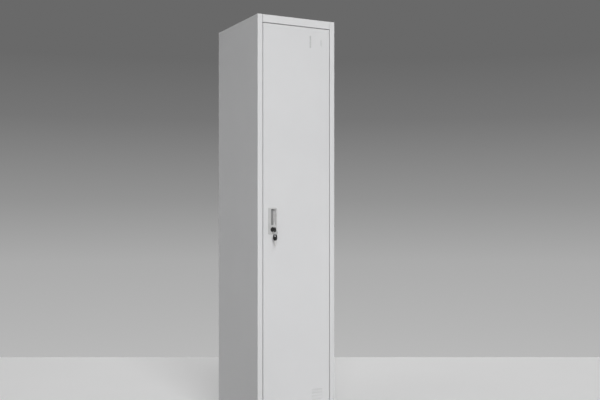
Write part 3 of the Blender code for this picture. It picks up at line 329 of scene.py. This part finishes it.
def soft_rubber(name):
    """Matt black rubber with a fine bloom."""
    made, nodes, shader = material(name)
    bloom = nodes.noise(nodes.place(), scale=350.0, detail=4.0)
    coat(nodes, shader, nodes.mottle(bloom, shade(0.018), shade(0.045)),
         nodes.spread(bloom, low=0.68, high=0.9),
         nodes.bump(bloom, distance=0.00008, strength=0.7))
    return made


# Plated metal
def plated(name, light, dark, rough, stretch, clouds, depth):
    """Drawn or tumbled lines under the plating, and a faint cloud in its tone."""
    made, nodes, shader = material(name)
    lines = nodes.noise(nodes.place(stretch), scale=1600.0, detail=3.0)
    cloud = nodes.noise(nodes.place(), scale=clouds, detail=4.0)
    coat(nodes, shader, nodes.mottle(cloud, dark, light),
         nodes.spread(lines, rough * 0.75, rough * 1.35),
         nodes.bump(lines, distance=depth, strength=0.5))
    shader["Metallic"].default_value = 1.0
    return made


ALONG_Z = (1.0, 1.0, 0.05)              # lines run along the axis that is stretched
ALONG_Y = (1.0, 0.1, 1.0)
ALONG_X = (0.2, 1.0, 1.0)
DRAWN_ALONG_X = (0.02, 1.0, 1.0)

FINISHES = {
    "door_coat": powder_coat("door_coat_finish", light=(0.662, 0.664, 0.671),
                             dark=(0.637, 0.639, 0.647), rough=0.54, foot_shade_share=0.14, tabbed=True),
    "body_coat": powder_coat("body_coat_finish", light=(0.680, 0.682, 0.688),
                             dark=(0.656, 0.658, 0.665), rough=0.54, foot_shade_share=0.30),
    "handle_plastic": handle_moulding("handle_finish"),
    "black_plastic": handled_black("black_finish"),
    "foot_plastic": moulded("foot_finish", light=shade(0.055), dark=shade(0.040),
                            rough=0.55, grain_size=0.0009, depth=0.00006),
    "nylon": moulded("nylon_finish", light=(0.74, 0.73, 0.68), dark=(0.68, 0.67, 0.61),
                     rough=0.5, grain_size=0.0008, depth=0.00003),
    "rubber": soft_rubber("rubber_finish"),
    "nickel": plated("nickel_finish", light=(0.84, 0.83, 0.80), dark=(0.76, 0.75, 0.72),
                     rough=0.30, stretch=ALONG_Z, clouds=90.0, depth=0.00002),
    "zinc": plated("zinc_finish", light=(0.62, 0.63, 0.65), dark=(0.52, 0.53, 0.53),
                   rough=0.38, stretch=ALONG_X, clouds=160.0, depth=0.00003),
    "chrome": plated("chrome_finish", light=(0.78, 0.78, 0.79), dark=(0.72, 0.72, 0.73),
                     rough=0.14, stretch=DRAWN_ALONG_X, clouds=40.0, depth=0.00001),
}
OWN_FINISHES = {
    "key_ring": plated("ring_finish", light=(0.26, 0.255, 0.245), dark=(0.19, 0.185, 0.18),
                       rough=0.34, stretch=ALONG_Z, clouds=300.0, depth=0.00002),
    "spare_key_blade": plated("blade_finish", light=(0.92, 0.915, 0.90),
                              dark=(0.86, 0.855, 0.84), rough=0.44, stretch=ALONG_Z,
                              clouds=90.0, depth=0.00002),
    "lock_plug": plated("plug_finish", light=(0.13, 0.13, 0.125), dark=(0.08, 0.08, 0.078),
                        rough=0.34, stretch=ALONG_Y, clouds=300.0, depth=0.00002),
}
for name, node in frame["nodes"].items():
    for held in node.material_slots:
        held.material = OWN_FINISHES.get(name, FINISHES[held.material.name.split(".")[0]])


# Making pieces
SMOOTH_UNDER = math.radians(35)         # faces that meet at less are shaded as one surface
TURNED_SIDES = 20
MERGE = 0.000001


def mesh_of(bm, name):
    """A mesh of a closed form, whose faces all look outwards."""
    bmesh.ops.recalc_face_normals(bm, faces=bm.faces)
    mesh = bpy.data.meshes.new(name)
    bm.to_mesh(mesh)
    bm.free()
    return mesh


def smooth(mesh):
    mesh.shade_smooth()
    mesh.set_sharp_from_angle(angle=SMOOTH_UNDER)


def add_piece(name, bm, body, slot_name):
    """A named piece in a slot's finish that rides on a body."""
    mesh = mesh_of(bm, name)
    smooth(mesh)
    mesh.materials.append(FINISHES[slot_name])
    piece = show(name, mesh)
    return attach(piece, body)


def skin(bm, rings, closed=False):
    """Faces between following rings of corners; a ring of one corner is a pole."""
    for ring, following in zip(rings, rings[1:] + rings[:1] if closed else rings[1:]):
        for side in range(max(len(ring), len(following))):
            after = side + 1
            corners = [ring[side % len(ring)], ring[after % len(ring)]]
            corners += [following[after % len(following)], following[side % len(following)]]
            bm.faces.new(list(dict.fromkeys(corners)))


def spots_round(radius, sides):
    """Points of a circle, from the first axis towards the second."""
    angles = [math.tau * side / sides for side in range(sides)]
    return [(radius * math.cos(angle), radius * math.sin(angle)) for angle in angles]


def facing(axis):
    """The turn that takes Z to an axis."""
    return Vector(axis).to_track_quat("Z", "Y").to_matrix()


def add_turned(name, profile, places, axis, body, slot_name):
    """The same turned solid at every place, its profile from one pole to the other."""
    turn = facing(axis)
    bm = bmesh.new()
    for place in places:
        rings = []
        for radius, height in profile:
            spots = spots_round(radius, TURNED_SIDES if radius else 1)
            rings.append([bm.verts.new(Vector(place) + turn @ Vector((x, y, height)))
                          for x, y in spots])
        skin(bm, rings)
    return add_piece(name, bm, body, slot_name)


def bar(half_x, half_y):
    """Corners of an oblong."""
    return [(-half_x, -half_y), (half_x, -half_y), (half_x, half_y), (-half_x, half_y)]


def cross(reach, half):
    """Corners of a cross whose arms are twice half wide."""
    arm = [(reach, -half), (reach, half), (half, half)]
    quarters = ((1, 0), (0, 1), (-1, 0), (0, -1))
    return [(x * c - y * s, x * s + y * c) for c, s in quarters for x, y in arm]


def block(bm, middle, turn, foot, top, height):
    """A solid between a foot and a top that have as many corners."""
    rings = []
    for corners, up in ((foot, 0.0), (top, height)):
        rings.append([bm.verts.new(Vector(middle) + turn @ Vector((x, y, up)))
                      for x, y in corners])
    skin(bm, rings)
    bm.faces.new(rings[0][::-1])
    bm.faces.new(rings[1])


def carve(piece, bm):
    """Cuts the solids in bm out of a piece."""
    cutter = show("cutter", mesh_of(bm, "cutter"))
    cutting = piece.modifiers.new("cut", "BOOLEAN")
    cutting.object = cutter
    cutting.solver = "EXACT"
    shown = piece.evaluated_get(bpy.context.evaluated_depsgraph_get())
    carved = bpy.data.meshes.new_from_object(shown)
    piece.modifiers.clear()
    piece.data = carved
    bpy.data.objects.remove(cutter)


def evenly(start, end, count):
    return [start + (end - start) * index / (count - 1) for index in range(count)]


def wall_side(box, way, out):
    """A distance out from the wall that a node sits on, at its left or its right end."""
    low, high = box
    return (low.x if way > 0 else high.x) + way * out


# Weld marks and fasteners. A profile's pairs are its radius and its height above the sheet
SHEET = 0.0008
WAYS = (("left", 1), ("right", -1))
WELD_MARK = ((0, -0.0002), (0.0037, -0.0002), (0.0037, 0.0001), (0.0033, 0.0004),
             (0.0028, 0.00045), (0.0023, 0.0002), (0.0016, 0.0001), (0, 0.0001))
RIVET_HEAD = ((0, -0.0001), (0.0030, -0.0001), (0.0030, 0.0003), (0.0026, 0.0009),
              (0.0016, 0.0013), (0, 0.0014))
SCREW_HEAD = ((0, -0.0001), (0.0027, -0.0001), (0.0028, 0.0003), (0.0024, 0.0008),
              (0.0014, 0.0012), (0, 0.0013))
CROSS_REACH, CROSS_HALF, CROSS_DEEP = 0.0015, 0.0004, 0.0008
CROSS_FIRST, CROSS_STEP = 20, 31        # degrees that each screw's cross is turned by

# Welds in a row, how far in or out its ends lie, and the row's place on its flange
STIFFENER_WELDS, STIFFENER_END_IN, STIFFENER_EDGE_IN = 12, 0.05, 0.0075
LEDGE_WELDS, LEDGE_END_IN, LEDGE_UP = 5, 0.03, 0.006
BACK_WELDS, BACK_REACH, BACK_DOWN = 6, 0.15, 0.010
RIVET_LIFT, BRACKET_SHEET = 0.0065, 0.0016
CUP_FLANGE = 0.002
CUP_SCREW_RADIUS = 0.0152
CUP_SCREW_ANGLES = (0.0, math.pi, math.pi * 1.5)


def add_weld_marks():
    """Spot-weld marks where sheets are joined, on faces that the front view doesn't show."""
    low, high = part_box("door_stiffener")
    heights = evenly(low.z + STIFFENER_END_IN, high.z - STIFFENER_END_IN, STIFFENER_WELDS)
    places = [(x, low.y + SHEET, z)
              for x in (low.x + STIFFENER_EDGE_IN, high.x - STIFFENER_EDGE_IN) for z in heights]
    add_turned("stiffener_weld_marks", WELD_MARK, places, (0, 1, 0), "door", "door_coat")
    for name, way in WAYS:
        low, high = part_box("shelf_ledge_" + name)
        wall = wall_side((low, high), way, SHEET)
        places = [(wall, y, low.z + LEDGE_UP)
                  for y in evenly(low.y + LEDGE_END_IN, high.y - LEDGE_END_IN, LEDGE_WELDS)]
        add_turned(f"ledge_weld_marks_{name}", WELD_MARK, places, (way, 0, 0), "cabinet",
                   "body_coat")
    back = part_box("back_panel")[1].y
    heights = [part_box(name)[1].z - BACK_DOWN for name in ("top_panel", "bottom_panel")]
    heights.append(sum(corner.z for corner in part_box("shelf")) / 2)
    places = [(x, back, z) for z in heights for x in evenly(-BACK_REACH, BACK_REACH, BACK_WELDS)]
    add_turned("back_weld_marks", WELD_MARK, places, (0, 1, 0), "cabinet", "body_coat")


def add_fasteners():
    """Rivets in the pivot brackets and cross-head screws in the rail cups."""
    for name in ("top", "bottom"):
        low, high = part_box(name + "_pivot_bracket")
        middle = (low + high) / 2
        places = [(high.x - BRACKET_SHEET, middle.y, middle.z + lift)
                  for lift in (-RIVET_LIFT, RIVET_LIFT)]
        add_turned(name + "_bracket_rivets", RIVET_HEAD, places, (-1, 0, 0), "door", "zinc")
    recess = cross(CROSS_REACH, CROSS_HALF)
    for name, way in WAYS:
        low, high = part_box("rail_cup_" + name)
        face = wall_side((low, high), way, CUP_FLANGE)
        middle = (low + high) / 2
        places = [Vector((face, middle.y + CUP_SCREW_RADIUS * math.cos(angle),
                          middle.z + CUP_SCREW_RADIUS * math.sin(angle)))
                  for angle in CUP_SCREW_ANGLES]
        screws = add_turned("rail_cup_screws_" + name, SCREW_HEAD, places, (way, 0, 0), "cabinet",
                            "zinc")
        outwards = Vector((way, 0, 0))
        cutter = bmesh.new()
        for index, place in enumerate(places):
            twist = math.radians(CROSS_FIRST + CROSS_STEP * index)
            turn = facing(outwards) @ Matrix.Rotation(twist, 3, "Z")
            foot = place + outwards * (SCREW_HEAD[-1][1] - CROSS_DEEP)
            block(cutter, foot, turn, recess, recess, 2 * CROSS_DEEP)
        carve(screws, cutter)


# The lock's thread
THREAD_PITCH, THREAD_CREST, THREAD_ROOT, THREAD_BORE = 0.0010, 0.00826, 0.0080, 0.0078
THREAD_SIDES, THREAD_STEPS = 24, 4      # round the barrel, and along one turn
NUT_GAP, THREAD_END_IN = 0.0003, 0.0008


def add_lock_thread():
    """The thread on the lock's barrel, behind the nut: a thin sleeve with a ridged outside."""
    low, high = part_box("lock_barrel")
    middle = (low + high) / 2
    start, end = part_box("lock_nut")[1].y + NUT_GAP, high.y - THREAD_END_IN
    rows = round((end - start) / THREAD_PITCH * THREAD_STEPS)
    bm = bmesh.new()

    def ring(along, radii):
        corners = []
        for radius, (x, z) in zip(radii, spots_round(1.0, THREAD_SIDES)):
            corners.append(bm.verts.new((middle.x + radius * x, along, middle.z + radius * z)))
        return corners

    rings = []
    for row in range(rows + 1):
        radii = []
        for side in range(THREAD_SIDES):
            phase = (row / THREAD_STEPS - side / THREAD_SIDES) % 1
            ridge = 0 if row in (0, rows) else 1 - abs(2 * phase - 1)
            radii.append(THREAD_ROOT + (THREAD_CREST - THREAD_ROOT) * ridge)
        rings.append(ring(start + (end - start) * row / rows, radii))
    for along in (end, start):
        rings.append(ring(along, [THREAD_BORE] * THREAD_SIDES))
    skin(bm, rings, True)
    add_piece("lock_barrel_thread", bm, "door", "zinc")


# The keys' fine forms, measured along the key from the middle of its hole
HOLE_IN = 0.0065                        # in from the bow's outer end
SPARE_TWIST = math.radians(60)
# Each rib: how far along it lies, and half its length
RIBS = ((0.0078, 0.0056), (0.0104, 0.0056), (0.0130, 0.0044))
BOW_HALF = 0.0015
RIB_FOOT, RIB_CREST, RIB_TAPER, RIB_HEIGHT = 0.0006, 0.0003, 0.0004, 0.00042
# Each groove: the side of the blade it is in, and how far across it lies
GROOVES = ((1, 0.0016), (-1, 0.0001))
GROOVE_ALONG, GROOVE_HALF = 0.0350, 0.0150
GROOVE_FLOOR, GROOVE_MOUTH, GROOVE_LEVEL, GROOVE_CUT = 0.0004, 0.0010, 0.00045, 0.0006


def key_frames():
    """For each key: its name, its body, its hole's middle, and its directions along and across."""
    bow_low, bow_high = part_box("key_bow")
    spare_low, spare_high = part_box("spare_key_bow")
    bow_middle, spare_middle = (bow_low + bow_high) / 2, (spare_low + spare_high) / 2
    inserted = Vector((bow_middle.x, bow_low.y + HOLE_IN, bow_middle.z))
    hanging = Vector((spare_middle.x, spare_middle.y, spare_high.z - HOLE_IN))
    across = Vector((math.cos(SPARE_TWIST), -math.sin(SPARE_TWIST), 0))
    return (("key", "key", inserted, Vector((0, 1, 0)), Vector((0, 0, 1))),
            ("spare_key", "spare_key", hanging, Vector((0, 0, -1)), across))


def add_key_details():
    """Grip ribs on the bows, and blades with the milled grooves that guide them."""
    for name, body, hole, along, across in key_frames():
        turn = Matrix((along, across, along.cross(across))).transposed()
        flips = {1: turn, -1: turn @ Matrix.Rotation(math.pi, 3, "X")}

        def spot(far, up, side, level):
            return hole + along * far + across * up + turn @ Vector((0, 0, side * level))

        ribs = bmesh.new()
        for far, half in RIBS:
            for side, flip in flips.items():
                block(ribs, spot(far, 0.0, side, BOW_HALF), flip, bar(RIB_FOOT, half),
                      bar(RIB_CREST, half - RIB_TAPER), RIB_HEIGHT)
        add_piece(name + "_grip_ribs", ribs, body, "black_plastic")
        node = frame["nodes"][name + "_blade"]
        blade = show(name + "_grooved_blade", node.data.copy())
        grooves = bmesh.new()
        for side, up in GROOVES:
            block(grooves, spot(GROOVE_ALONG, up, side, GROOVE_LEVEL), flips[side],
                  bar(GROOVE_HALF, GROOVE_FLOOR), bar(GROOVE_HALF, GROOVE_MOUTH), GROOVE_CUT)
        carve(blade, grooves)
        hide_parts(name + "_blade")
        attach(blade, body)


# Nodes whose facets stand for curved or pressed forms
ROUND_NODES = ("door_skin", "handle_shell", "lock_cap", "lock_barrel", "lock_washer", "lock_plug",
               "key_bow", "spare_key_bow", "key_ring", "hanging_rail", "rail_cup_left",
               "rail_cup_right", "cam_screw", "buffer_upper", "buffer_lower")


def add_round_forms():
    """Stand-ins for the round nodes, joined across their facets and shaded as one surface."""
    record = frame["record"]
    body_of = {node: body for body, nodes in record["behaviour"]["bodies"].items()
               for node in nodes}
    for name in ROUND_NODES:
        mesh = frame["nodes"][name].data.copy()
        mesh.attributes.remove(mesh.attributes["custom_normal"])
        bm = bmesh.new()
        bm.from_mesh(mesh)
        bmesh.ops.remove_doubles(bm, verts=bm.verts, dist=MERGE)
        bm.to_mesh(mesh)
        bm.free()
        smooth(mesh)
        piece = show(name + "_smooth", mesh)
        piece.modifiers.new("flat_faces_lead", "WEIGHTED_NORMAL").keep_sharp = True
        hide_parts(name)
        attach(piece, body_of[name])


add_weld_marks()
add_fasteners()
add_lock_thread()
add_key_details()
add_round_forms()


# Studio
MIDDLE = Vector((0.0, 0.0, 0.95))
FLOOR_DEPTH = 5.92                      # the floor's far edge, in front of the camera
FLOOR_NEAR = 2.5                        # how far the floor runs on, behind the camera
FLOOR_WIDTH = 12.0
# Greys of the backdrop by the sine of the angle above the horizon
BACKDROP = ((-0.163, 0.485), (-0.052, 0.408), (0.017, 0.292), (0.110, 0.179), (0.178, 0.141))
FILL = 0.045


def add_panel(name, left, rise, reach, size, power):
    """A soft square light at the middle, from so many degrees left of the front and up."""
    data = bpy.data.lights.new(name, "AREA")
    data.shape = "SQUARE"
    data.size = size
    data.energy = power
    turn, lift = math.radians(left), math.radians(rise)
    toward = Vector((-math.sin(turn) * math.cos(lift), -math.cos(turn) * math.cos(lift),
                     math.sin(lift)))
    lamp = show(name, data)
    lamp.location = MIDDLE + toward * reach
    lamp.rotation_euler = (-toward).to_track_quat("-Z", "Y").to_euler()


def add_floor():
    """A square-on floor whose far edge runs level across the camera's view."""
    ahead = Matrix.Rotation(CAMERA_TURN, 3, "Z") @ Vector((0, 1, 0))
    aside = Vector((ahead.y, -ahead.x, 0)) * FLOOR_WIDTH / 2
    start = Vector((CAMERA_PLACE.x, CAMERA_PLACE.y, 0.0))
    near, far = start - ahead * FLOOR_NEAR, start + ahead * FLOOR_DEPTH
    bm = bmesh.new()
    corners = (near - aside, near + aside, far + aside, far - aside)
    bm.faces.new([bm.verts.new(corner) for corner in corners])
    mesh = bpy.data.meshes.new("floor")
    bm.to_mesh(mesh)
    bm.free()
    floor = show("floor", mesh)
    made, nodes, shader = material("floor_finish")
    cloud = nodes.noise(nodes.place(), scale=0.8, detail=2.0)
    nodes.join(nodes.mottle(cloud, shade(0.86), shade(0.88)), shader["Base Color"])
    shader["Roughness"].default_value = 1.0
    shader["Specular IOR Level"].default_value = 0.0
    mesh.materials.append(made)


def backdrop_tone(nodes):
    """The backdrop's grey, which darkens upwards."""
    low, high = BACKDROP[0][0], BACKDROP[-1][0]
    coord = nodes.add("ShaderNodeTexCoord")
    height = nodes.parts(coord.outputs["Generated"])["Z"]
    ramp = nodes.add("ShaderNodeValToRGB")
    stops = ramp.color_ramp.elements
    while len(stops) < len(BACKDROP):
        stops.new(0.5)
    for stop, (rise, grey) in zip(stops, BACKDROP):
        stop.position = (rise - low) / (high - low)
        stop.color = (*shade(grey), 1.0)
    nodes.join(nodes.rise(height, low, high), ramp.inputs["Fac"])
    return ramp.outputs["Color"]


def add_world():
    """Even fill light, and the backdrop for the rays that see it."""
    world = bpy.data.worlds.new("studio")
    world.use_nodes = True
    scene.world = world
    nodes = Nodes(world.node_tree)
    fill = world.node_tree.nodes["Background"]
    fill.inputs["Color"].default_value = (1, 1, 1, 1)
    fill.inputs["Strength"].default_value = FILL
    seen = nodes.add("ShaderNodeBackground")
    nodes.join(backdrop_tone(nodes), seen.inputs["Color"])
    path = nodes.add("ShaderNodeLightPath").outputs
    looks = nodes.math("MAXIMUM", path["Is Camera Ray"], path["Is Glossy Ray"])
    looks = nodes.math("MAXIMUM", looks, path["Is Transmission Ray"])
    mix = nodes.add("ShaderNodeMixShader")
    for number, output in enumerate((looks, fill.outputs[0], seen.outputs[0])):
        nodes.join(output, mix.inputs[number])
    nodes.join(mix.outputs[0], world.node_tree.nodes["World Output"].inputs["Surface"])


add_panel("key_light", left=17.0, rise=20.0, reach=22.0, size=12.0, power=3940.0)
add_panel("left_light", left=68.0, rise=48.0, reach=8.0, size=2.4, power=24.0)
add_panel("right_light", left=-80.0, rise=20.0, reach=9.0, size=3.0, power=25.0)
add_panel("rear_light", left=212.0, rise=26.0, reach=10.0, size=7.0, power=470.0)
add_panel("top_light", left=0.0, rise=89.0, reach=8.0, size=6.0, power=130.0)
add_floor()
add_world()
